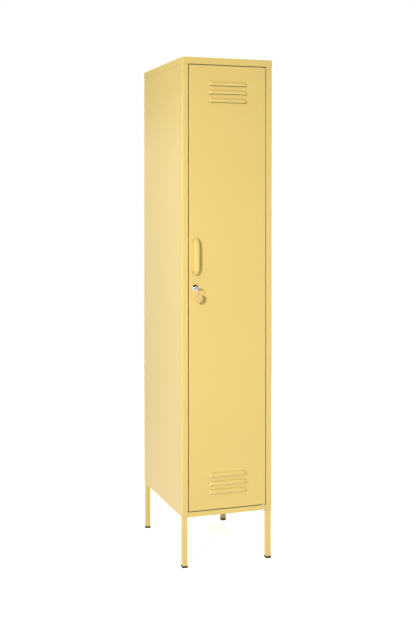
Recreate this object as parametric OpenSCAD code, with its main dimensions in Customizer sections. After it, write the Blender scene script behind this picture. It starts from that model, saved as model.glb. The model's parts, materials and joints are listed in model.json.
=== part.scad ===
// Slim single-door steel locker on four short legs.
// X runs right as seen from the front, Y runs back and Z runs up from the floor.
// The origin lies on the floor, in the middle of the whole outline.

/* [Cabinet] */
// Overall width across the top cap
body_w = 350; // [300:5:600]
// Depth of the cabinet across the top cap
body_d = 460; // [350:5:600]
// Height of the cabinet without its legs
carcass_h = 1650; // [1500:10:1900]
// Thickness of the sheet steel
sheet = 1; // [0.8:0.1:1.4]
// Outer radius of the long bends at the cabinet's corners
bend_r = 2; // [1.5:0.1:3]
// Width of the front stiles
stile_w = 22; // [22:1:30]
// Height of the flange round the top cap
cap_flange_h = 25; // [24:1:40]
// Height of the sill under the door
sill_h = 18; // [16:1:30]
// Width of the back panel's returns at the rear corners
rear_return_w = 20; // [15:1:30]
// Width of the strip that stops the door at each side
stop_w = 12; // [10:1:16]
// Height of the lip that stops the door at top and bottom
stop_h = 10; // [8:1:16]

/* [Door] */
// Gap round the door
door_gap = 2.5; // [2.3:0.1:4]
// Depth of the door's folded edge
door_d = 18; // [16:1:22]
// Radius of the door's outer edges
door_edge_r = 1.5; // [1:0.1:1.6]
// Width of the inward lip behind the door's folded edge
door_lip_w = 12; // [8:1:14]
// Width of the channel that stiffens the door
stiffener_w = 40; // [30:1:60]
// Depth of that channel
stiffener_d = 12; // [8:1:14]
// Width of each welded flange of that channel
stiffener_flange_w = 12; // [8:1:16]
// Distance from the stiffener's ends to the nearest louvre
stiffener_end_gap = 25; // [10:1:60]
// How far the stiffener lies right of the door's middle
stiffener_offset = 20; // [0:1:40]

/* [Louvres] */
// Number of louvres in each group
louvre_count = 3; // [1:1:5]
// Width of a louvre
louvre_w = 148; // [80:1:180]
// Height of a louvre's hood
louvre_h = 15; // [10:1:20]
// How far a hood stands out of the door
louvre_out = 6; // [3:0.5:7]
// Radius of the rounded edge round a hood
louvre_edge_r = 7; // [7:0.5:8]
// Height of the slit under a hood's lip
louvre_slit = 1; // [0.5:0.5:2]
// Distance from one louvre to the next
louvre_pitch = 30; // [25:1:40]
// Distance from the door's top edge to the top of the upper group
louvre_top_inset = 58; // [40:1:120]
// Distance from the door's bottom edge to the lowest lip
louvre_bottom_inset = 57.5; // [40:0.5:120]

/* [Handle] */
// Length of the bow handle
handle_len = 140; // [110:1:180]
// How far the handle stands out of the door
handle_out = 23; // [22:1:32]
// Width of the handle
handle_w = 18; // [14:1:22]
// Thickness of the handle
handle_t = 9; // [9:0.5:12]
// Radius along the middle of the handle's bends
handle_bend_r = 30; // [28:1:40]
// Height of the handle's middle above the lock
handle_above_lock = 112.5; // [100:0.5:160]
// Distance of the handle's middle from the door's left edge
handle_inset = 24.5; // [24:0.5:40]
// Radius of the screws that hold the handle
handle_screw_r = 2; // [1.5:0.1:2.5]
// How deep those screws go into the handle
handle_screw_depth = 7; // [6:0.5:8]
// Radius of those screws' heads
handle_head_r = 4; // [3:0.5:5]
// Thickness of those screws' heads
handle_head_t = 2.4; // [1.5:0.1:3]

/* [Lock] */
// Distance of the lock's axis from the door's left edge
lock_inset = 24.5; // [24:0.5:30]
// Radius of the lock's visible flange
lock_flange_r = 12; // [11:0.5:14]
// Thickness of that flange at its middle
lock_flange_t = 4; // [3:0.5:4]
// Thickness of that flange at its rim
lock_rim_t = 0.8; // [0.5:0.1:1.5]
// Width of the flat land round the plug, inside the flange's cone
lock_land_w = 0.4; // [0.3:0.1:1]
// Radius of the lock's barrel
lock_barrel_r = 9.5; // [9:0.25:10]
// Radius of the turning plug
plug_r = 6; // [6:0.1:6.5]
// Radius of the plug's front lip
plug_lip_r = 6.8; // [6.8:0.1:7.5]
// Thickness of the plug's front lip
plug_lip_t = 1; // [0.8:0.1:1.5]
// Radius of the plug's neck in the cam
plug_neck_r = 4; // [3:0.5:5]
// Thickness of the lock's nut
lock_nut_t = 4; // [3:0.5:6]
// Radius across the corners of the lock's nut
lock_nut_r = 14.5; // [13:0.5:15]
// Length of the cam from the lock's axis to its tip
cam_len = 28; // [20:1:34]
// Width of the cam
cam_w = 16; // [14:1:20]
// Thickness of the cam
cam_t = 2; // [1.5:0.5:3]
// Radius of the cam screw's head
cam_head_r = 6; // [5:0.5:7]
// Thickness of the cam screw's head
cam_head_t = 2; // [1.5:0.1:2.4]

/* [Key] */
// Width of the key's blade
blade_w = 7.8; // [6:0.1:8]
// Thickness of the key
key_t = 2; // [1.5:0.1:2.4]
// Length of the key's blade
blade_len = 20; // [16:1:22]
// Number of notches in each edge of the blade
notch_count = 4; // [2:1:4]
// Distance from one notch to the next
notch_pitch = 3; // [2.5:0.1:3.4]
// Radius of the key's bow
bow_r = 12; // [11:0.5:14]
// Distance from the lock's face to the bow
bow_gap = 1; // [1:0.5:6]
// Radius of the hole in the bow
bow_hole_r = 4.4; // [4.2:0.1:5]
// Width of the bow's strip outside that hole
bow_strip = 2; // [1.5:0.1:2.2]
// Radius to the middle of the ring's wire
ring_r = 11.5; // [10:0.5:12]
// Radius of the ring's wire
wire_r = 0.9; // [0.6:0.1:1]
// Radius of the fob
fob_r = 17; // [14:0.5:22]
// Thickness of the fob
fob_t = 3; // [2:0.5:4]
// Radius of the hole in the fob
fob_hole_r = 2.5; // [2:0.1:3]
// Width of the fob's rim outside its hole
fob_rim = 2.2; // [1.5:0.1:4]

/* [Hinge] */
// Radius of the hinge pins
pin_r = 3; // [2.5:0.1:3.2]
// Distance of the hinge line from the door's right edge
pivot_inset = 7.5; // [6.5:0.1:8]
// Distance of the hinge line behind the door's front
pivot_depth = 5.5; // [5.3:0.1:6]
// How deep each pin reaches into the door
pin_reach = 12; // [8:1:16]
// Radius of a hinge pin's head
pin_head_r = 4.2; // [3.6:0.1:4.4]
// Thickness of a hinge pin's head
pin_head_t = 2; // [1.5:0.5:3]
// Thickness of the hinge brackets
bracket_t = 3; // [2:0.5:4]
// Width of the hinge brackets
bracket_w = 30; // [24:1:40]
// Height of the hinge brackets
bracket_h = 13; // [10:1:14]
// Width of the pivot block in the door
block_w = 16; // [14:1:24]
// Height of the pivot block in the door
block_h = 18; // [17:1:26]
// Outer radius of the washer under the door
washer_r = 5.2; // [4.5:0.1:5.4]

/* [Legs] */
// Height from the floor to the underside of the cabinet
leg_h = 180; // [120:5:260]
// Width of the square leg tube
leg_w = 18; // [14:1:18]
// Wall of the leg tube
leg_wall = 1.2; // [1:0.1:2]
// Distance from the cabinet's outer faces to the leg
leg_inset = 3; // [3:0.1:4]
// Height of the visible foot cap
foot_h = 7; // [5:1:15]
// How far the foot cap stands out round the leg
foot_proud = 1; // [0.5:0.1:1.5]
// How far the foot cap reaches up inside the leg
foot_plug_h = 15; // [8:1:30]
// Length of the plate that ties a leg to the base
ear_len = 60; // [50:1:90]
// Thickness of that plate
ear_t = 2; // [1.5:0.5:3]
// Distance from the plate's edges to the base's flange edges
ear_margin = 2; // [1:0.5:3]
// Radius of the leg bolts
bolt_r = 3; // [2:0.5:3]
// Radius of the leg bolts' heads
bolt_head_r = 5.5; // [4:0.5:6]
// Thickness of the leg bolts' heads
bolt_head_t = 4; // [3:0.5:5]
// Distance between the two bolts of a leg
bolt_pitch = 20; // [15:1:25]

/* [Shelves] */
// Slot that carries the top shelf, counted from the lowest
top_slot = 25; // [22:1:25]
// Slot that carries the middle shelf
middle_slot = 11; // [8:1:14]
// Slot that carries the lower shelf
lower_slot = 5; // [3:1:7]
// Height of the shelves' flanges
shelf_flange_h = 20; // [12:1:30]
// Gap between a shelf and each shelf strip
shelf_side_gap = 1.5; // [1:0.1:3]
// Gap between a shelf and the door's stop
shelf_front_gap = 6; // [2:1:20]
// Gap between a shelf and the back panel
shelf_back_gap = 2; // [1:0.5:6]
// Width of the slotted shelf strips
strip_w = 16; // [14:1:24]
// Depth of the shelf strips
strip_d = 5; // [4.5:0.5:8]
// Wall of the shelf strips
strip_t = 1.2; // [1:0.1:1.5]
// Distance from the inside corners to the middle of a strip
strip_inset = 45; // [30:1:80]
// Distance from the floor and cap to the strips' ends
strip_end_gap = 30; // [20:1:50]
// Distance from a strip's end to the first slot
slot_first = 20; // [15:1:30]
// Distance from one slot to the next
slot_pitch = 50; // [45:1:50]
// Height of a slot
slot_h = 4; // [3.5:0.5:5]
// Width of a slot
slot_w = 8; // [6:1:10]
// Thickness of a shelf clip's tab
clip_t = 2; // [1.5:0.1:2.5]
// How far a shelf clip reaches into the cabinet
clip_len = 12; // [8:1:16]
// Height of a shelf clip's outer leg
clip_h = 12; // [8:1:18]
// Thickness of a shelf clip's legs
clip_leg_t = 1.5; // [1:0.1:1.8]

/* [Rail] */
// Radius of the hanging rail
rail_r = 9.5; // [8:0.5:12]
// Wall of the hanging rail
rail_wall = 1.2; // [1:0.1:2]
// Distance from the top shelf down to the rail's middle
rail_drop = 55; // [45:1:90]
// Depth of the rail's sockets
socket_d = 14; // [10:1:20]
// Thickness of a socket's flange
socket_flange_t = 2.5; // [2:0.5:4]
// Wall of the rail's sockets
socket_wall = 2.5; // [2:0.5:4]
// How far a socket's flange stands out round the socket
socket_rim = 5; // [3:1:10]

/* [Back] */
// Radius of the cable hole in the back panel
cable_hole_r = 20; // [15:1:30]
// Height of the cable hole above the base's floor
cable_hole_up = 180; // [60:5:400]
// Wall of the rubber grommet
grommet_wall = 3; // [2:0.5:4]
// How far the grommet's flanges stand out round the hole
grommet_rim = 5; // [3:1:8]
// Thickness of each of the grommet's flanges
grommet_flange_t = 2; // [1:0.5:2]
// Radius of the two holes for wall screws
wall_hole_r = 3.5; // [2.5:0.5:5]
// Distance between the wall screws
wall_hole_pitch = 200; // [100:5:240]
// Distance from the wall screws to the cabinet's top
wall_hole_drop = 60; // [40:5:150]

/* [Bumpers] */
// Gap between the closed door and its stop lip
stop_gap = 3; // [2.6:0.1:5]
// Radius of the rubber bumpers
bumper_r = 4; // [3:0.5:4.5]
// Distance from the door's ends to the outer bumpers
bumper_inset = 80; // [40:5:200]
// Number of bumpers
bumper_count = 3; // [2:1:5]

/* [Fits] */
// Radial clearance of a turning fit
run_fit = 0.05; // [0.03:0.01:0.08]
// Clearance between pieces that only lie near each other
near_fit = 0.3; // [0.2:0.05:0.4]

/* [Hidden] */
$fn = 64;
cut = 1;                                     // how far a cutting shape runs past a face

side_x = body_w / 2 - sheet;                 // outer face of the side panels
inner_x = side_x - sheet;                    // inner face of the side panels
open_x = side_x - stile_w;                   // half the width of the door opening
door_x = open_x - door_gap;                  // half the width of the door
lip_x = open_x - stop_w;                     // inner edge of the door stops

carcass_z = leg_h;
top_z = leg_h + carcass_h;
sill_z = carcass_z + sill_h;
head_z = top_z - cap_flange_h;
floor_z = sill_z + stop_h;
door_z = [sill_z + door_gap, head_z - door_gap];
lock_z = (door_z[0] + door_z[1]) / 2;
handle_z = lock_z + handle_above_lock;

strip_y = bow_gap + lock_flange_t + 2 * bow_r - bow_strip / 2;   // strip's distance from the door
ring_out = strip_y + ring_r + wire_r;        // how far the key ring stands out of the door
front_reach = max(ring_out, handle_out) - sheet;
front_y = (front_reach - body_d) / 2;        // front face of the cap
back_y = front_y + body_d;
face_y = front_y + sheet;                    // front face of the stiles and the door
rear_y = back_y - sheet;                     // rear face of the side panels
stop_y = face_y + door_d + stop_gap;         // front face of the door stops
well_y = stop_y + sheet;                     // where the inside starts
panel_y = rear_y - 2 * sheet;                // inner face of the back panel
panel_x = side_x - bend_r;                   // half the back panel's width between the bends
panel_z = [leg_h, leg_h + carcass_h - sheet - bend_r];  // ends of the upright panels
middle_y = (well_y + panel_y) / 2;

lock_x = -door_x + lock_inset;
handle_x = -door_x + handle_inset;
handle_sink = handle_bend_r - handle_out + handle_t / 2;  // how far behind the skin the bends' centres lie
handle_straight = handle_len - 2 * bend_height(handle_bend_r + handle_t / 2);
pivot_x = door_x - pivot_inset;
pivot_y = face_y + pivot_depth;
lock_face_y = face_y - lock_flange_t;
barrel_y = well_y + near_fit;                // rear end of the barrel, where the cam turns
plug_back_y = barrel_y + near_fit;

louvre_len = louvre_w - 2 * louvre_h;
louvre_edge_y = louvre_out - louvre_edge_r;  // how far out of the door the rounded edge's centre lies
louvre_crown = louvre_h - sqrt(pow(louvre_edge_r, 2) - pow(louvre_edge_y, 2));  // flat part's height
upper_louvre_z = door_z[1] - louvre_top_inset - louvre_h - (louvre_count - 1) * louvre_pitch;
lower_louvre_z = door_z[0] + louvre_bottom_inset;
louvre_lips = [for (i = [0:louvre_count - 1], base = [upper_louvre_z, lower_louvre_z])
  base + i * louvre_pitch];

leg_x = side_x + sheet - leg_inset - leg_w;  // inner face of the legs
leg_front_y = front_y + leg_inset;
leg_rear_y = back_y - leg_inset - leg_w;
ear_z = [carcass_z + ear_margin, floor_z - sheet - ear_margin];
bolt_z = (carcass_z + floor_z) / 2;
bolt_from_leg = leg_w + ear_len / 3;

strip_z = [floor_z + strip_end_gap, top_z - sheet - strip_end_gap];
slot_count = floor((strip_z[1] - strip_z[0] - 2 * slot_first) / slot_pitch) + 1;
web_x = inner_x - strip_d;                   // face of a shelf strip
strip_ys = [well_y + strip_inset, panel_y - strip_inset];
shelf_x = web_x - shelf_side_gap;
shelf_y = [well_y + shelf_front_gap, panel_y - shelf_back_gap];
shelf_slots = [lower_slot, middle_slot, top_slot];
rail_z = shelf_top(top_slot) - rail_drop;

cable_z = floor_z + cable_hole_up;
panel_rear_y = panel_y + sheet;
wall_hole_z = top_z - wall_hole_drop;

ring_drop = norm([bow_strip, key_t]) / 2 + wire_r + near_fit / 2;  // strip's middle to the wire
ring_y = face_y - strip_y;
ring_z = lock_z + ring_drop - ring_r;
fob_wire_z = ring_z - ring_r;
fob_hole_z = fob_wire_z - (fob_hole_r - wire_r - near_fit);
fob_z = fob_hole_z - (fob_r - fob_rim - fob_hole_r);

yellow = "#f0d581";
grey = "#b9bcc0";
chrome = "#d8dadc";
black = "#232324";
nylon = "#ecebe4";

// Height of a slot's middle, counted from the lowest slot
function slot_z(n) = strip_z[0] + slot_first + n * slot_pitch;

// Height of the upper face of a clip's tab, where a shelf's flange stands
function clip_top(n) = slot_z(n) - slot_h / 2 + clip_t;

// Height of the upper face of the shelf that hangs on a slot
function shelf_top(n) = clip_top(n) + shelf_flange_h;

// Height that an arc round a handle bend's centre spans between the grip and the door
function bend_height(r) = sqrt(pow(r, 2) - pow(handle_sink, 2));

// Box between a low and a high limit on each axis
module box(x, y, z) {
  translate([x[0], y[0], z[0]])
    cube([x[1] - x[0], y[1] - y[0], z[1] - z[0]]);
}

// Round bar along X
module bar_x(r, x, y, z) {
  translate([x[0], y, z])
    rotate([0, 90, 0])
      cylinder(r = r, h = x[1] - x[0]);
}

// Round bar along Y
module bar_y(r, x, y, z) {
  translate([x, y[0], z])
    rotate([-90, 0, 0])
      cylinder(r = r, h = y[1] - y[0]);
}

// Round bar along Z
module bar_z(r, x, y, z) {
  translate([x, y, z[0]])
    cylinder(r = r, h = z[1] - z[0]);
}

// The same piece on the other side of the cabinet
module to_right() {
  mirror([1, 0, 0])
    children();
}

// Flat rectangle with its corners rounded
module rounded_rectangle(x, y, r) {
  translate([x[0] + r, y[0]])
    square([x[1] - x[0] - 2 * r, y[1] - y[0]]);
  translate([x[0], y[0] + r])
    square([x[1] - x[0], y[1] - y[0] - 2 * r]);
  for (cx = [x[0] + r, x[1] - r], cy = [y[0] + r, y[1] - r])
    translate([cx, cy])
      circle(r = r);
}

// Flat bar with two round ends, its length along X
module stadium(len, t) {
  square([len - t, t], center = true);
  for (s = [-1, 1])
    translate([s * (len - t) / 2, 0])
      circle(r = t / 2);
}

// Flat wall of the left side, whose front and rear ends butt against the bends
module side_panel() {
  color(yellow)
    box([-side_x, -inner_x], [face_y + bend_r, rear_y - bend_r], panel_z);
}

// Front stile of the left side, bent back at both of its edges
module stile() {
  open_y = stop_y + 2 * bend_r;
  color(yellow)
    translate([0, 0, panel_z[0]])
      linear_extrude(panel_z[1] - panel_z[0])
        difference() {
          rounded_rectangle([-side_x, -open_x], [face_y, open_y], bend_r);
          rounded_rectangle([-inner_x, -open_x - sheet], [face_y + sheet, open_y + bend_r],
            bend_r - sheet);
          translate([-side_x - cut, face_y + bend_r])
            square([stile_w - bend_r + cut, body_d]);
          translate([-side_x - cut, stop_y])
            square([stile_w + 2 * cut, body_d]);
        }
}

// Strip behind the left stile that stops the door
module door_stop() {
  color(yellow)
    box([-open_x - sheet, -lip_x], [stop_y, well_y], panel_z);
}

// Outline of the back panel seen from above, whose returns form the rear corners
module back_outline() {
  difference() {
    rounded_rectangle([-side_x, side_x], [middle_y, rear_y], bend_r);
    rounded_rectangle([-inner_x, inner_x], [middle_y - cut, rear_y - sheet], bend_r - sheet);
    translate([-body_w, middle_y - cut])
      square([2 * body_w, rear_y - bend_r - middle_y + cut]);
    translate([rear_return_w - side_x, middle_y])
      square([2 * (side_x - rear_return_w), body_d]);
  }
  translate([-panel_x, panel_y])
    square([2 * panel_x, sheet]);
}

module back_panel() {
  through = [panel_y - cut, panel_rear_y + cut];
  color(yellow)
    difference() {
      translate([0, 0, panel_z[0]])
        linear_extrude(panel_z[1] - panel_z[0])
          back_outline();
      bar_y(cable_hole_r, 0, through, cable_z);
      for (s = [-1, 1])
        bar_y(wall_hole_r, s * wall_hole_pitch / 2, through, wall_hole_z);
    }
}

// Block whose twelve edges are rounded
module rounded_block(x, y, z, r) {
  intersection() {
    translate([0, y[1], 0])
      rotate([90, 0, 0])
        linear_extrude(y[1] - y[0])
          rounded_rectangle(x, z, r);
    translate([x[0], 0, 0])
      rotate([90, 0, 90])
        linear_extrude(x[1] - x[0])
          rounded_rectangle(y, z, r);
    translate([0, 0, z[0]])
      linear_extrude(z[1] - z[0])
        rounded_rectangle(x, y, r);
  }
}

module top_cap() {
  cap_r = bend_r + sheet;
  below = head_z - 4 * cap_r;
  color(yellow)
    difference() {
      union() {
        difference() {
          rounded_block([-body_w / 2, body_w / 2], [front_y, back_y], [below, top_z], cap_r);
          rounded_block([-side_x, side_x], [face_y, rear_y], [below, top_z - sheet], bend_r);
          box([-body_w, body_w], [front_y - cut, back_y + cut], [below - cut, head_z]);
        }
        box([-open_x, open_x], [front_y, stop_y], [head_z, head_z + sheet]);
        box([-lip_x, lip_x], [stop_y, well_y], [head_z - stop_h, head_z + sheet]);
      }
      bar_z(pin_r + near_fit, pivot_x, pivot_y, [head_z - cut, head_z + sheet + cut]);
    }
}

module base_tray() {
  color(yellow)
    difference() {
      union() {
        box([-open_x, open_x], [face_y, face_y + sheet], [carcass_z, sill_z]);
        box([-open_x, open_x], [face_y, stop_y], [sill_z - sheet, sill_z]);
        box([-open_x, open_x], [face_y, face_y + stop_h], [carcass_z, carcass_z + sheet]);
        box([-lip_x, lip_x], [stop_y - sheet, well_y], [sill_z - sheet, floor_z]);
        box([-inner_x, inner_x], [well_y, panel_y], [floor_z - sheet, floor_z]);
        box([-leg_x, leg_x], [panel_y - sheet, panel_y], [carcass_z, floor_z]);
        for (s = [-1, 1])
          box(s < 0 ? [-inner_x, sheet - inner_x] : [inner_x - sheet, inner_x],
            [well_y, panel_y], [carcass_z, floor_z]);
      }
      bar_z(pin_r + near_fit, pivot_x, pivot_y, [sill_z - sheet - cut, sill_z + cut]);
      for (y = bolt_ys())
        bar_x(bolt_r + near_fit, [-body_w, body_w], y, bolt_z);
    }
}

// Places of the leg bolts from front to back
function bolt_ys() = [for (k = [0, 1])
  each [leg_front_y + bolt_from_leg + k * bolt_pitch,
    leg_rear_y + leg_w - bolt_from_leg - k * bolt_pitch]];

// Leg of the left side, with its plate running back from a front leg
module leg(y, plate_y) {
  color(yellow)
    difference() {
      union() {
        box([-leg_x - leg_w, -leg_x], [y, y + leg_w], [foot_h, floor_z - sheet]);
        box([sheet - inner_x, sheet + ear_t - inner_x], plate_y, ear_z);
      }
      box([-leg_x - leg_w + leg_wall, -leg_x - leg_wall],
        [y + leg_wall, y + leg_w - leg_wall], [foot_h - cut, floor_z]);
      for (bolt_y = bolt_ys())
        bar_x(bolt_r + near_fit, [-body_w, -leg_x], bolt_y, bolt_z);
    }
}

module front_leg() {
  leg(leg_front_y, [leg_front_y, leg_front_y + leg_w + ear_len]);
}

module rear_leg() {
  leg(leg_rear_y, [leg_rear_y - ear_len, leg_rear_y + leg_w]);
}

// Foot cap of the left side under the leg that starts at y
module foot(y) {
  plug = leg_wall + near_fit / 2;
  color(black) {
    linear_extrude(foot_h)
      rounded_rectangle([-leg_x - leg_w - foot_proud, foot_proud - leg_x],
        [y - foot_proud, y + leg_w + foot_proud], foot_proud);
    box([-leg_x - leg_w + plug, -leg_x - plug], [y + plug, y + leg_w - plug],
      [foot_h - foot_proud, foot_h + foot_plug_h]);
  }
}

module leg_bolts() {
  color(grey)
    for (s = [0, 1], y = bolt_ys())
      mirror([s, 0, 0]) {
        bar_x(bolt_r, [-inner_x, sheet + ear_t - inner_x + cut], y, bolt_z);
        bar_x(bolt_head_r, [sheet + ear_t - inner_x, sheet + ear_t - inner_x + bolt_head_t],
          y, bolt_z);
      }
}

// Slotted strip on the left wall, with its middle at y
module shelf_strip(y) {
  color(yellow)
    difference() {
      box([-inner_x, -web_x], [y - strip_w / 2, y + strip_w / 2], strip_z);
      box([-inner_x - cut, -web_x - strip_t],
        [y - strip_w / 2 + strip_t, y + strip_w / 2 - strip_t],
        [strip_z[0] - cut, strip_z[1] + cut]);
      for (n = [0:slot_count - 1])
        box([-web_x - strip_t - cut, -web_x + cut], [y - slot_w / 2, y + slot_w / 2],
          [slot_z(n) - slot_h / 2, slot_z(n) + slot_h / 2]);
    }
}

module shelf(n) {
  top = shelf_top(n);
  color(yellow)
    difference() {
      box([-shelf_x, shelf_x], shelf_y, [top - shelf_flange_h, top]);
      box([sheet - shelf_x, shelf_x - sheet], [shelf_y[0] + sheet, shelf_y[1] - sheet],
        [top - shelf_flange_h - cut, top - sheet]);
    }
}

// Clip on the left wall that carries a shelf's flange
module shelf_clip(y, n) {
  top = clip_top(n);
  half = slot_w / 2 - near_fit;
  back_x = -web_x - strip_t - near_fit / 2;
  box([back_x - clip_leg_t, clip_len - web_x], [y - half, y + half], [top - clip_t, top]);
  box([back_x - clip_leg_t, back_x], [y - half, y + half], [top - clip_h, top]);
  box([-web_x, clip_leg_t - web_x], [y - half, y + half], [top - clip_h, top]);
}

module shelf_clips() {
  color(grey)
    for (s = [0, 1], y = strip_ys, n = shelf_slots)
      mirror([s, 0, 0])
        shelf_clip(y, n);
}

module hanging_rail() {
  rail_x = inner_x - socket_flange_t - near_fit;
  color(grey)
    difference() {
      bar_x(rail_r, [-rail_x, rail_x], middle_y, rail_z);
      bar_x(rail_r - rail_wall, [-rail_x - cut, rail_x + cut], middle_y, rail_z);
    }
}

module rail_socket() {
  socket_r = rail_r + near_fit + socket_wall;
  color(grey)
    difference() {
      union() {
        bar_x(socket_r + socket_rim, [-inner_x, socket_flange_t - inner_x], middle_y, rail_z);
        bar_x(socket_r, [-inner_x, socket_d - inner_x], middle_y, rail_z);
      }
      bar_x(rail_r + near_fit, [socket_flange_t - inner_x, socket_d + cut - inner_x],
        middle_y, rail_z);
    }
}

module cable_grommet() {
  flange_r = cable_hole_r + grommet_rim;
  color(black)
    difference() {
      union() {
        bar_y(flange_r, 0, [panel_y - grommet_flange_t, panel_y], cable_z);
        bar_y(cable_hole_r - near_fit / 2, 0, [panel_y - cut, panel_rear_y + cut], cable_z);
        bar_y(flange_r, 0, [panel_rear_y, panel_rear_y + grommet_flange_t], cable_z);
      }
      bar_y(cable_hole_r - grommet_wall, 0,
        [panel_y - grommet_flange_t - cut, panel_rear_y + grommet_flange_t + cut], cable_z);
    }
}

module door_bumpers() {
  first_z = door_z[0] + bumper_inset;
  step = (door_z[1] - door_z[0] - 2 * bumper_inset) / (bumper_count - 1);
  color(black)
    for (i = [0:bumper_count - 1])
      bar_y(bumper_r, -(open_x + lip_x) / 2, [stop_y - stop_gap + near_fit, stop_y],
        first_z + i * step);
}

// Angle bracket that holds a hinge pin, seated at height z and reaching up or down
module hinge_bracket(z, up) {
  y = [face_y + sheet, stop_y - sheet];
  color(grey)
    translate([0, 0, z])
      mirror([0, 0, 1 - up])
        difference() {
          union() {
            box([open_x - bracket_w, open_x], y, [0, bracket_t]);
            box([open_x - bracket_t, open_x], y, [0, bracket_h]);
          }
          bar_z(pin_r + run_fit, pivot_x, pivot_y, [-cut, bracket_t + cut]);
        }
}

// Hinge pin whose head lies on the bracket at height z and whose shank reaches the door
module hinge_pin(z, up) {
  color(grey)
    translate([0, 0, z])
      mirror([0, 0, 1 - up]) {
        bar_z(pin_head_r, pivot_x, pivot_y, [bracket_t, bracket_t + pin_head_t]);
        bar_z(pin_r, pivot_x, pivot_y, [-sheet - door_gap - pin_reach, bracket_t + sheet]);
      }
}

module hinge_washer() {
  color(nylon)
    difference() {
      bar_z(washer_r, pivot_x, pivot_y, [sill_z, door_z[0] - near_fit]);
      bar_z(pin_r + run_fit, pivot_x, pivot_y, [sill_z - cut, door_z[0]]);
    }
}

// Block in the door's corner that turns on a hinge pin, seated at height z
module pivot_block(z, up) {
  color(nylon)
    translate([0, 0, z])
      mirror([0, 0, 1 - up])
        difference() {
          box([door_x - sheet - block_w, door_x - sheet],
            [face_y + sheet, face_y + door_d - sheet], [0, block_h]);
          bar_z(pin_r + run_fit, pivot_x, pivot_y, [-cut, pin_reach + near_fit]);
        }
}

// Half section of a hood from its lip to its edge, with Y out of the door, thinner by t
module louvre_section(t) {
  intersection() {
    union() {
      translate([0, -sheet - cut])
        square([louvre_crown, louvre_out - t + sheet + cut]);
      translate([louvre_crown, louvre_edge_y])
        circle(r = louvre_edge_r - t);
    }
    translate([0, -sheet - t])
      square([louvre_h, louvre_out + sheet + t]);
  }
}

// Hood with its lip at height z, or the hollow inside it where t is the sheet's thickness
module louvre(z, t) {
  translate([0, face_y, z]) {
    translate([-louvre_len / 2, 0, 0])
      rotate([180, -90, 0])
        linear_extrude(louvre_len)
          louvre_section(t);
    for (s = [0, 1])
      mirror([s, 0, 0])
        translate([louvre_len / 2, 0, 0])
          rotate([90, 0, 0])
            rotate_extrude(angle = 90)
              louvre_section(t);
  }
}

// Folded pan of the door without its louvres and holes
module door_pan() {
  back = face_y + door_d;
  behind = back + 2 * door_edge_r;
  difference() {
    rounded_block([-door_x, door_x], [face_y, behind], door_z, door_edge_r);
    box([-body_w, body_w], [back, behind + cut], [0, top_z]);
    box([sheet - door_x, door_x - sheet], [face_y + sheet, back - sheet],
      [door_z[0] + sheet, door_z[1] - sheet]);
    box([door_lip_w - door_x, door_x - door_lip_w], [face_y + sheet, back + cut],
      [door_z[0] + door_lip_w, door_z[1] - door_lip_w]);
  }
}

module door_panel() {
  skin = [face_y - cut, face_y + sheet + cut];
  color(yellow)
    difference() {
      union() {
        door_pan();
        for (z = louvre_lips)
          louvre(z, 0);
      }
      for (z = louvre_lips) {
        louvre(z, sheet);
        box([2 * sheet - louvre_w / 2, louvre_w / 2 - 2 * sheet], skin, [z - louvre_slit, z + cut]);
      }
      bar_y(lock_barrel_r + near_fit, lock_x, skin, lock_z);
      for (z = handle_screw_zs())
        bar_y(handle_screw_r + near_fit, handle_x, skin, z);
      bar_z(pin_r + near_fit, pivot_x, pivot_y, [door_z[0] - cut, door_z[0] + sheet + cut]);
      bar_z(pin_r + near_fit, pivot_x, pivot_y, [door_z[1] - sheet - cut, door_z[1] + cut]);
    }
}

module door_stiffener() {
  half = stiffener_w / 2;
  ends = [lower_louvre_z + (louvre_count - 1) * louvre_pitch + louvre_h + stiffener_end_gap,
    upper_louvre_z - stiffener_end_gap];
  y = face_y + sheet;
  color(grey)
    translate([stiffener_offset, 0, 0]) {
      box([-half, half], [y + stiffener_d - sheet, y + stiffener_d], ends);
      for (s = [0, 1])
        mirror([s, 0, 0]) {
          box([half - sheet, half], [y, y + stiffener_d], ends);
          box([half - sheet, half + stiffener_flange_w], [y, y + sheet], ends);
        }
    }
}

// Heights of the handle's two screws
function handle_screw_zs() = [for (s = [-1, 1])
  handle_z + s * (handle_straight / 2 + bend_height(handle_bend_r) - handle_screw_r)];

module handle() {
  color(yellow)
    difference() {
      translate([handle_x, face_y + handle_sink, handle_z]) {
        translate([0, -handle_bend_r, -handle_straight / 2])
          linear_extrude(handle_straight)
            stadium(handle_w, handle_t);
        for (s = [0, 1])
          mirror([0, 0, s])
            translate([0, 0, handle_straight / 2])
              rotate([0, -90, 180])
                rotate_extrude(angle = 90)
                  translate([handle_bend_r, 0])
                    rotate(90)
                      stadium(handle_w, handle_t);
      }
      box([handle_x - handle_w, handle_x + handle_w], [face_y, face_y + handle_sink + cut],
        [handle_z - handle_len, handle_z + handle_len]);
      for (z = handle_screw_zs())
        bar_y(handle_screw_r + run_fit, handle_x, [face_y - handle_screw_depth, face_y + cut],
          z);
    }
}

module handle_screws() {
  head_y = face_y + sheet;
  color(grey)
    for (z = handle_screw_zs()) {
      bar_y(handle_screw_r, handle_x, [face_y - handle_screw_depth + near_fit, head_y + cut],
        z);
      bar_y(handle_head_r, handle_x, [head_y, head_y + handle_head_t], z);
    }
}

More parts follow.
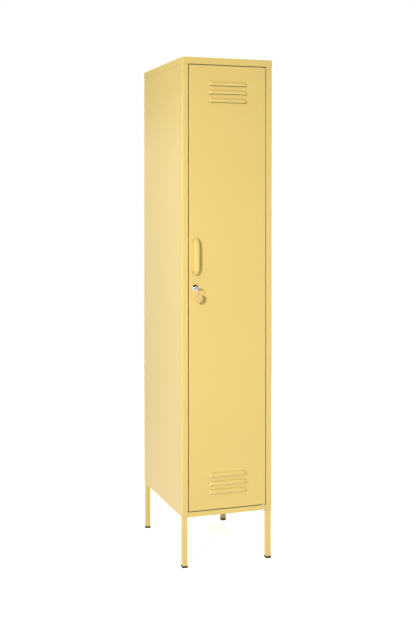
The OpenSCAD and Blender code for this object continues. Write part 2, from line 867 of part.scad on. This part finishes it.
module lock_housing() {
  land_r = plug_lip_r + run_fit + lock_land_w;
  color(chrome)
    difference() {
      union() {
        translate([lock_x, face_y, lock_z])
          rotate([90, 0, 0]) {
            cylinder(r = lock_flange_r, h = lock_rim_t);
            translate([0, 0, lock_rim_t])
              cylinder(r1 = lock_flange_r, r2 = land_r, h = lock_flange_t - lock_rim_t);
          }
        bar_y(lock_barrel_r, lock_x, [face_y - lock_rim_t, barrel_y], lock_z);
      }
      bar_y(plug_r + run_fit, lock_x, [lock_face_y - cut, barrel_y + cut], lock_z);
      bar_y(plug_lip_r + run_fit, lock_x, [lock_face_y - cut, lock_face_y + plug_lip_t],
        lock_z);
    }
}

module lock_nut() {
  color(grey)
    difference() {
      translate([lock_x, face_y + sheet, lock_z])
        rotate([-90, 0, 0])
          cylinder(r = lock_nut_r, h = lock_nut_t, $fn = 6);
      bar_y(lock_barrel_r + near_fit / 2, lock_x,
        [face_y, face_y + sheet + lock_nut_t + cut], lock_z);
    }
}

module lock_plug() {
  lip_back = lock_face_y + plug_lip_t - run_fit;
  color(chrome)
    difference() {
      union() {
        bar_y(plug_lip_r, lock_x, [lock_face_y - run_fit, lip_back], lock_z);
        bar_y(plug_r, lock_x, [lock_face_y, plug_back_y], lock_z);
        bar_y(plug_neck_r, lock_x, [lock_face_y, plug_back_y + cam_t], lock_z);
      }
      box([lock_x - blade_w / 2 - near_fit, lock_x + blade_w / 2 + near_fit],
        [lock_face_y - cut, lock_face_y + blade_len + near_fit],
        [lock_z - key_t / 2 - near_fit, lock_z + key_t / 2 + near_fit]);
      bar_y(plug_neck_r / 2, lock_x, [plug_back_y, plug_back_y + cam_t + cut], lock_z);
    }
}

module lock_cam() {
  y = plug_back_y;
  color(grey)
    translate([lock_x, y, lock_z])
      rotate([-90, 0, 0])
        difference() {
          union() {
            cylinder(r = cam_w / 2, h = cam_t);
            translate([-cam_w / 2, 0, 0])
              cube([cam_w, cam_len, cam_t]);
          }
          translate([0, 0, -cut])
            cylinder(r = plug_neck_r + run_fit, h = cam_t + 2 * cut);
        }
}

module cam_screw() {
  head_y = plug_back_y + cam_t;
  color(grey) {
    bar_y(plug_neck_r / 2 - run_fit, lock_x, [plug_back_y + near_fit, head_y + cut], lock_z);
    bar_y(cam_head_r, lock_x, [head_y, head_y + cam_head_t], lock_z);
  }
}

module key() {
  bow_y = lock_face_y - bow_gap - bow_r;
  color(chrome)
    difference() {
      union() {
        box([lock_x - blade_w / 2, lock_x + blade_w / 2],
          [bow_y, lock_face_y + blade_len], [lock_z - key_t / 2, lock_z + key_t / 2]);
        bar_z(bow_r, lock_x, bow_y, [lock_z - key_t / 2, lock_z + key_t / 2]);
      }
      bar_z(bow_hole_r, lock_x, bow_y - bow_r + bow_strip + bow_hole_r,
        [lock_z - key_t, lock_z + key_t]);
      for (i = [1:notch_count], s = [-1, 1])
        bar_z(key_t / 2, lock_x + s * blade_w / 2, lock_face_y + notch_pitch * (i + 1 / 2),
          [lock_z - key_t, lock_z + key_t]);
    }
}

module key_ring() {
  color(chrome)
    translate([lock_x, ring_y, ring_z])
      rotate([0, 90, 0])
        rotate_extrude()
          translate([ring_r, 0])
            circle(r = wire_r, $fn = 32);
}

module key_fob() {
  edge = fob_t / 4;
  color(yellow)
    difference() {
      translate([lock_x, ring_y, fob_z])
        rotate([90, 0, 0])
          rotate_extrude()
            difference() {
              translate([0, -fob_t / 2])
                square([fob_r, fob_t]);
              for (s = [-1, 1])
                translate([fob_r - edge, s * (fob_t / 2 - edge)])
                  difference() {
                    translate([0, s < 0 ? -edge : 0])
                      square(edge);
                    circle(r = edge);
                  }
            }
      bar_y(fob_hole_r, lock_x, [ring_y - fob_t, ring_y + fob_t], fob_hole_z);
    }
}

side_panel();  // left_side_panel
to_right() side_panel();  // right_side_panel
stile();  // left_stile
to_right() stile();  // right_stile
door_stop();  // left_door_stop
to_right() door_stop();  // right_door_stop
back_panel();
top_cap();
base_tray();
front_leg();  // leg_front_left
to_right() front_leg();  // leg_front_right
rear_leg();  // leg_rear_left
to_right() rear_leg();  // leg_rear_right
foot(leg_front_y);  // foot_front_left
to_right() foot(leg_front_y);  // foot_front_right
foot(leg_rear_y);  // foot_rear_left
to_right() foot(leg_rear_y);  // foot_rear_right
leg_bolts();
shelf_strip(strip_ys[0]);  // shelf_strip_front_left
to_right() shelf_strip(strip_ys[0]);  // shelf_strip_front_right
shelf_strip(strip_ys[1]);  // shelf_strip_rear_left
to_right() shelf_strip(strip_ys[1]);  // shelf_strip_rear_right
shelf(top_slot);  // top_shelf
shelf(middle_slot);  // middle_shelf
shelf(lower_slot);  // lower_shelf
shelf_clips();
hanging_rail();
rail_socket();  // rail_socket_left
to_right() rail_socket();  // rail_socket_right
cable_grommet();
door_bumpers();
hinge_bracket(head_z + sheet, 1);  // upper_hinge_bracket
hinge_bracket(sill_z - sheet, 0);  // lower_hinge_bracket
hinge_pin(head_z + sheet, 1);  // upper_hinge_pin
hinge_pin(sill_z - sheet, 0);  // lower_hinge_pin
hinge_washer();
door_panel();
door_stiffener();
pivot_block(door_z[1] - sheet, 0);  // upper_pivot_block
pivot_block(door_z[0] + sheet, 1);  // lower_pivot_block
handle();
handle_screws();
lock_housing();
lock_nut();
lock_plug();
lock_cam();
cam_screw();
key();
key_ring();
key_fob();
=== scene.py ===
"""Looks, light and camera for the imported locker. Lengths are in metres."""

import json
import math

import bpy
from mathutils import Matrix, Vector


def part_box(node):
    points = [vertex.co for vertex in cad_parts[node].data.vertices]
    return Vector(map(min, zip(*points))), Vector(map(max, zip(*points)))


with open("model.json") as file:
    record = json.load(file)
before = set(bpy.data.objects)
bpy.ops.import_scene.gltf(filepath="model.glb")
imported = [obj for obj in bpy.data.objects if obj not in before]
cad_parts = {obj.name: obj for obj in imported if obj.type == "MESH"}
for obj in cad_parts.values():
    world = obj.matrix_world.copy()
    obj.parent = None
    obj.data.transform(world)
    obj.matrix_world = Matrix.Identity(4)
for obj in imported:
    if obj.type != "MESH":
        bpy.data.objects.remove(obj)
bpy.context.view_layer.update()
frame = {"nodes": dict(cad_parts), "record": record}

nodes = frame["nodes"]

# Camera at the photograph's viewing angle, placed from the front face of the top cap
IMAGE_HEIGHT = 624
FOCAL_PIXELS = 956.5
SENSOR_MM = 36.0
CAMERA_X = -1.3247
CAMERA_FORWARD = 3.2164
CAMERA_Z = 1.3177
CAMERA_TILT = 89.761
CAMERA_YAW = -17.025
SHIFT_X = 0.1119
SHIFT_Y = -0.1733

# Soft light from all round, which only lights and isn't seen
AMBIENT = 0.38
AMBIENT_COLOUR = (1.0, 0.92, 0.76, 1.0)

# Floor: the grey that lights the object, the grey and the glow that are seen near the
# object, and the distances between which these turn into plain white
FLOOR_SIZE = 30.0
FLOOR_PLAIN = 0.62
FLOOR_SHADE = 0.72
FLOOR_GLOW = 0.7
FLOOR_NEAR = 2.5
FLOOR_FAR = 4.0

# Painted shade in the powder coat's gaps: how near another surface counts, and the shares of
# openness at which the painted shade is full and at which it is gone
GAP_REACH = 0.012
GAP_DARK = 0.17
GAP_UNSHADED = 0.78
GAP_SAMPLES = 8

WHITE = (1.0, 1.0, 1.0, 1.0)
BLACK = (0.0, 0.0, 0.0, 1.0)


def place_camera():
    """Camera of the photograph, as the scene's own."""
    front_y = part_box("top_cap")[0].y
    data = bpy.data.cameras.new("camera")
    data.sensor_width = SENSOR_MM
    data.lens = FOCAL_PIXELS / IMAGE_HEIGHT * SENSOR_MM
    data.shift_x = SHIFT_X
    data.shift_y = SHIFT_Y
    camera = bpy.data.objects.new("camera", data)
    camera.location = (CAMERA_X, front_y - CAMERA_FORWARD, CAMERA_Z)
    camera.rotation_euler = (math.radians(CAMERA_TILT), 0.0, math.radians(CAMERA_YAW))
    bpy.context.scene.collection.objects.link(camera)
    bpy.context.scene.camera = camera


def linear(*srgb):
    """Colour with channels from 0 to 255, by the sRGB curve, as a shader's linear colour."""
    out = []
    for value in srgb:
        c = value / 255
        out.append(c / 12.92 if c <= 0.04045 else ((c + 0.055) / 1.055) ** 2.4)
    return (*out, 1.0)


def scaled(colour, factor):
    """The same colour made lighter or darker."""
    return (*(min(1.0, c * factor) for c in colour[:3]), 1.0)


class Nodes:
    """Node tree of one material, with short calls to add and link nodes."""

    def __init__(self, name):
        self.material = bpy.data.materials.new(name)
        self.material.use_nodes = True
        self.tree = self.material.node_tree
        self.shader = next(n for n in self.tree.nodes if n.type == "BSDF_PRINCIPLED")
        self.place = self.add("ShaderNodeTexCoord").outputs["Object"]

    def add(self, kind, **inputs):
        """New node, with values or links for its inputs by name."""
        node = self.tree.nodes.new(kind)
        for name, value in inputs.items():
            self.put(node.inputs[name.replace("_", " ")], value)
        return node

    def put(self, socket, value):
        """Links an output to the input, or else sets the input's own value."""
        if isinstance(value, bpy.types.NodeSocket):
            self.tree.links.new(value, socket)
        else:
            socket.default_value = value

    def set(self, **inputs):
        """Values or links for the inputs of the material's own shader."""
        for name, value in inputs.items():
            self.put(self.shader.inputs[name.replace("_", " ")], value)

    def noise(self, size, detail=2.0, stretch=(1.0, 1.0, 1.0)):
        """Noise from 0 to 1 with lumps about size across, drawn out where stretch is small."""
        mapping = self.add("ShaderNodeMapping", Vector=self.place, Scale=stretch)
        texture = self.add("ShaderNodeTexNoise", Scale=1 / size, Detail=detail)
        self.put(texture.inputs["Vector"], mapping.outputs["Vector"])
        return texture.outputs["Fac"]

    def ramp(self, value, low=0.0, high=1.0, start=0.3, end=0.7):
        """Value between start and end mapped to a number between low and high."""
        node = self.add("ShaderNodeMapRange", Value=value)
        self.put(node.inputs["From Min"], start)
        self.put(node.inputs["From Max"], end)
        self.put(node.inputs["To Min"], low)
        self.put(node.inputs["To Max"], high)
        return node.outputs["Result"]

    def blend(self, factor, first, second):
        """Colour mixed from two colours by a factor."""
        node = self.tree.nodes.new("ShaderNodeMix")
        node.data_type = "RGBA"
        colours = [s for s in node.inputs if s.type == "RGBA"]
        self.put(node.inputs["Factor"], factor)
        self.put(colours[0], first)
        self.put(colours[1], second)
        return next(s for s in node.outputs if s.type == "RGBA")

    def sum(self, first, second):
        """Sum of two numbers."""
        node = self.tree.nodes.new("ShaderNodeMath")
        node.operation = "ADD"
        self.put(node.inputs[0], first)
        self.put(node.inputs[1], second)
        return node.outputs[0]

    def unshaded_share(self):
        """Zero deep in a gap, rising to one where the surface is open: the mask for the shade
        painted into gaps.
        """
        node = self.add("ShaderNodeAmbientOcclusion", Distance=GAP_REACH)
        node.samples = GAP_SAMPLES
        return self.ramp(node.outputs["AO"], start=GAP_DARK, end=GAP_UNSHADED)

    def bump(self, height, depth, strength):
        """Bump of the given depth, joined to the shader."""
        node = self.add("ShaderNodeBump", Strength=strength, Distance=depth, Height=height)
        self.set(Normal=node.outputs["Normal"])


def powder_coat(name, colour):
    """Satin powder coat: fine orange peel, faint clouds and flecks, with shade painted dark
    into its gaps.
    """
    m = Nodes(name)
    clouds = m.ramp(m.noise(size=0.35, detail=3.0))
    tone = m.blend(clouds, scaled(colour, factor=0.985), scaled(colour, factor=1.015))
    flecks = m.ramp(m.noise(size=0.0016, detail=1.0), high=0.2, start=0.5, end=0.8)
    coat = m.blend(flecks, tone, scaled(colour, factor=0.95))
    # Painted shade: the coat turns dark brown where nearby surfaces close it in, as in gaps
    # and creases.
    painted_gap_shade = linear(84, 72, 44)
    m.set(Base_Color=m.blend(m.unshaded_share(), painted_gap_shade, coat))
    m.set(Roughness=m.ramp(m.noise(size=0.2, detail=3.0), low=0.34, high=0.38))
    m.set(IOR=1.5, Sheen_Weight=0.25, Sheen_Roughness=0.4)
    peel = m.sum(m.noise(size=0.0022, detail=2.0), m.noise(size=0.0007, detail=1.0))
    m.bump(peel, depth=0.00003, strength=0.4)
    return m.material


def moulded_plastic(name, colour, low, high, grain):
    """Moulded plastic with a fine spark-eroded grain, and roughness between low and high."""
    m = Nodes(name)
    shade = m.ramp(m.noise(size=0.012, detail=3.0))
    m.set(Base_Color=m.blend(shade, scaled(colour, factor=0.96), scaled(colour, factor=1.04)))
    m.set(Roughness=m.ramp(m.noise(size=0.004), low=low, high=high))
    m.bump(m.noise(size=grain), depth=0.00005, strength=0.5)
    return m.material


def rubber_black(name, colour):
    """Soft black rubber with a dusty bloom."""
    m = Nodes(name)
    bloom = m.ramp(m.noise(size=0.008, detail=5.0), high=0.5, start=0.45, end=0.75)
    m.set(Base_Color=m.blend(bloom, colour, scaled(colour, factor=2.2)))
    m.set(Roughness=m.ramp(m.noise(size=0.003), low=0.7, high=0.85))
    m.bump(m.noise(size=0.0009), depth=0.00004, strength=0.6)
    return m.material


def plated_steel(name, colour):
    """Plated or blackened rolled steel, with faint rolling lines and mottling."""
    m = Nodes(name)
    lines = m.noise(size=0.0006, stretch=(0.06, 1.0, 1.0))
    mottle = m.noise(size=0.009, detail=4.0)
    m.set(Base_Color=m.blend(m.ramp(mottle), scaled(colour, factor=0.86), colour))
    m.set(Metallic=1.0)
    m.set(Roughness=m.ramp(m.sum(lines, mottle), low=0.28, high=0.45, start=0.7, end=1.3))
    m.bump(lines, depth=0.00001, strength=0.4)
    return m.material


def polished_chrome(name, colour):
    """Polished chrome with hairline scratches and finger marks in its gloss."""
    m = Nodes(name)
    smears = m.noise(size=0.006, detail=4.0)
    hairs = m.noise(size=0.0002, detail=1.0, stretch=(0.05, 1.0, 1.0))
    m.set(Base_Color=m.blend(m.ramp(smears), scaled(colour, factor=0.94), colour))
    m.set(Metallic=1.0)
    m.set(Roughness=m.ramp(smears, low=0.06, high=0.16))
    m.bump(hairs, depth=0.000004, strength=0.3)
    return m.material


def finish_nodes():
    """Each node of the CAD model gets the material of its slot."""
    yellow = linear(241, 214, 129)
    materials = {
        "cabinet_paint": powder_coat("cabinet_powder_coat", yellow),
        "door_paint": powder_coat("door_powder_coat", yellow),
        "foot_plastic": moulded_plastic(
            "foot_black_plastic", linear(28, 28, 28), low=0.44, high=0.56, grain=0.0008
        ),
        "rubber": rubber_black("black_rubber", linear(22, 22, 23)),
        "nylon": moulded_plastic(
            "white_nylon", linear(232, 230, 220), low=0.36, high=0.48, grain=0.0012
        ),
        "zinc_steel": plated_steel("bright_zinc", linear(205, 207, 210)),
        "dark_steel": plated_steel("black_oxide_steel", linear(58, 57, 56)),
        "chrome": polished_chrome("polished_chrome", linear(204, 206, 209)),
        "fob_plastic": moulded_plastic(
            "fob_satin_plastic", linear(230, 203, 131), low=0.36, high=0.48, grain=0.001
        ),
    }
    for subpart in frame["record"]["subparts"]:
        piece = nodes[subpart["node"]]
        piece.data.materials.clear()
        piece.data.materials.append(materials[subpart["material_slot"]])


def seen_rays(tree):
    """One for rays from the camera, reflections and clear pieces, zero for the rest."""
    path = tree.nodes.new("ShaderNodeLightPath")
    seen = path.outputs["Is Camera Ray"]
    for output in ("Is Glossy Ray", "Is Transmission Ray"):
        either = tree.nodes.new("ShaderNodeMath")
        either.operation = "MAXIMUM"
        tree.links.new(seen, either.inputs[0])
        tree.links.new(path.outputs[output], either.inputs[1])
        seen = either.outputs[0]
    return seen


def far_share(tree):
    """Zero on the floor near the object, rising to one farther out."""
    place = tree.nodes.new("ShaderNodeTexCoord").outputs["Object"]
    length = tree.nodes.new("ShaderNodeVectorMath")
    length.operation = "LENGTH"
    tree.links.new(place, length.inputs[0])
    share = tree.nodes.new("ShaderNodeMapRange")
    share.inputs["From Min"].default_value = FLOOR_NEAR
    share.inputs["From Max"].default_value = FLOOR_FAR
    tree.links.new(length.outputs["Value"], share.inputs["Value"])
    return share.outputs["Result"]


def sky(tree, colour, strength):
    """Plain light of the world."""
    shader = tree.nodes.new("ShaderNodeBackground")
    shader.inputs["Color"].default_value = colour
    shader.inputs["Strength"].default_value = strength
    return shader


def matt(tree, level):
    """Plain matt grey of the given level."""
    shader = tree.nodes.new("ShaderNodeBsdfDiffuse")
    shader.inputs["Color"].default_value = (level, level, level, 1.0)
    return shader


def glow(tree, strength):
    """Plain white glow of the given strength."""
    shader = tree.nodes.new("ShaderNodeEmission")
    shader.inputs["Color"].default_value = WHITE
    shader.inputs["Strength"].default_value = strength
    return shader


def mixed(tree, factor, first, second):
    """Shader mixed from two shaders by a factor."""
    mix = tree.nodes.new("ShaderNodeMixShader")
    tree.links.new(factor, mix.inputs[0])
    tree.links.new(first.outputs[0], mix.inputs[1])
    tree.links.new(second.outputs[0], mix.inputs[2])
    return mix


def studio_world():
    """White background that lights the object with a soft, slightly warm light."""
    world = bpy.data.worlds.new("studio")
    bpy.context.scene.world = world
    world.use_nodes = True
    tree = world.node_tree
    tree.nodes.clear()
    ambient = sky(tree, AMBIENT_COLOUR, AMBIENT)
    white = sky(tree, WHITE, 1.0)
    surface = mixed(tree, seen_rays(tree), ambient, white)
    out = tree.nodes.new("ShaderNodeOutputWorld")
    tree.links.new(surface.outputs[0], out.inputs["Surface"])


def studio_floor():
    """Pale floor that keeps the object's shadow and turns into the white background."""
    bpy.ops.mesh.primitive_plane_add(size=FLOOR_SIZE, location=(0.0, 0.0, 0.0))
    floor = bpy.context.active_object
    floor.name = "floor"
    material = bpy.data.materials.new("floor_white")
    material.use_nodes = True
    tree = material.node_tree
    tree.nodes.clear()
    near = tree.nodes.new("ShaderNodeAddShader")
    tree.links.new(matt(tree, FLOOR_SHADE).outputs[0], near.inputs[0])
    tree.links.new(glow(tree, FLOOR_GLOW).outputs[0], near.inputs[1])
    seen = mixed(tree, far_share(tree), near, glow(tree, 1.0))
    surface = mixed(tree, seen_rays(tree), matt(tree, FLOOR_PLAIN), seen)
    out = tree.nodes.new("ShaderNodeOutputMaterial")
    tree.links.new(surface.outputs[0], out.inputs["Surface"])
    floor.data.materials.append(material)


def lamp(name, place, target, size, watts, spread=180):
    """Soft rectangular lamp that faces a point, with a grid when its spread is narrower."""
    data = bpy.data.lights.new(name, "AREA")
    data.spread = math.radians(spread)
    data.shape = "RECTANGLE"
    data.size = size[0]
    data.size_y = size[1]
    data.energy = watts
    thing = bpy.data.objects.new(name, data)
    bpy.context.scene.collection.objects.link(thing)
    thing.location = place
    away = Vector(place) - Vector(target)
    thing.rotation_euler = away.to_track_quat("Z", "Y").to_euler()
    thing.visible_camera = False


def black_card(name, place, size, tilt=0):
    """Black card that only reflections see, as hung round metal in a studio."""
    bpy.ops.mesh.primitive_plane_add(location=place, rotation=(math.radians(tilt), 0.0, 0.0))
    card = bpy.context.active_object
    card.name = name
    card.scale = (size[0] / 2, size[1] / 2, 1.0)
    card.visible_camera = False
    card.visible_diffuse = False
    card.visible_shadow = False
    black = bpy.data.materials.new(name)
    black.use_nodes = True
    shader = next(n for n in black.node_tree.nodes if n.type == "BSDF_PRINCIPLED")
    shader.inputs["Base Color"].default_value = BLACK
    shader.inputs["Roughness"].default_value = 1.0
    card.data.materials.append(black)


def hang_lamps():
    """Key lamp at the front left, below the top face, and soft ones from the other sides."""
    lamp(
        "key",
        place=(-2.15, -2.55, 1.71),
        target=(0.9, -1.2, 0.6),
        size=(0.45, 0.2),
        watts=46,
        spread=120,
    )
    lamp(
        "side",
        place=(-2.5, 0.4, 3.3),
        target=(-0.2, 0.2, 2.3),
        size=(1.8, 1.8),
        watts=13,
        spread=110,
    )
    lamp("rear", place=(2.7, 2.3, 0.95), target=(0.0, 0.2, 0.9), size=(1.8, 1.6), watts=60)
    lamp("top", place=(0.3, 0.9, 3.1), target=(0.0, 0.1, 1.8), size=(1.2, 1.2), watts=20)


bpy.context.scene.view_settings.view_transform = "Standard"
place_camera()
finish_nodes()
studio_world()
studio_floor()
black_card("overhead_card", place=(0.0, 0.0, 3.6), size=(18.0, 18.0))
black_card("rear_card", place=(-1.8, 3.6, 2.9), size=(5.0, 2.0), tilt=90)
hang_lamps()
